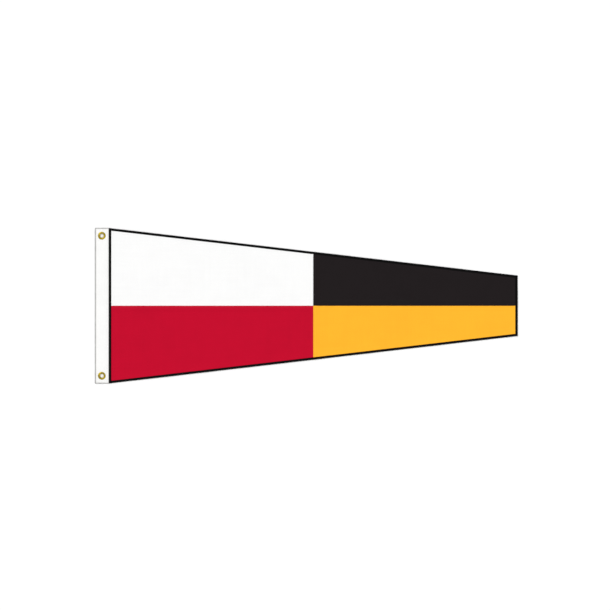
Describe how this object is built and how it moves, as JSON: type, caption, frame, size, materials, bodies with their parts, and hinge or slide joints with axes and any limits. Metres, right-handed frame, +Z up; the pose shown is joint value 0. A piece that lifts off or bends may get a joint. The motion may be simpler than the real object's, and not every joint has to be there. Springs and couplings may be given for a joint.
{
  "type": "signal flag",
  "caption": "Tapered cloth signal pennant in white, black, red and yellow quarters, black bound edges, canvas heading with brass grommets, lying flat.",
  "frame": {"origin": "on the surface that the flag lies on, under the centre of its bounding box", "axes": "+X from the heading to the narrow fly end, +Y towards the white and black edge, +Z up out of the face"},
  "size_m": [0.9144, 0.3362, 0.0034],
  "materials": {
    "cloth_white": "plain woven flag cloth",
    "cloth_black": "plain woven flag cloth",
    "cloth_red": "plain woven flag cloth",
    "cloth_yellow": "plain woven flag cloth",
    "tape_black": "woven tape",
    "canvas_white": "canvas duck",
    "brass": "stamped brass, slightly dulled"
  },
  "bodies": {
    "root": {"panel_white": "cloth_white", "panel_black": "cloth_black", "panel_red": "cloth_red", "panel_yellow": "cloth_yellow", "tape_hoist": "tape_black", "tape_upper": "tape_black", "tape_lower": "tape_black", "tape_fly": "tape_black", "heading": "canvas_white", "grommet_upper": "brass", "grommet_lower": "brass", "washer_upper": "brass", "washer_lower": "brass"}
  },
  "joints": []
}
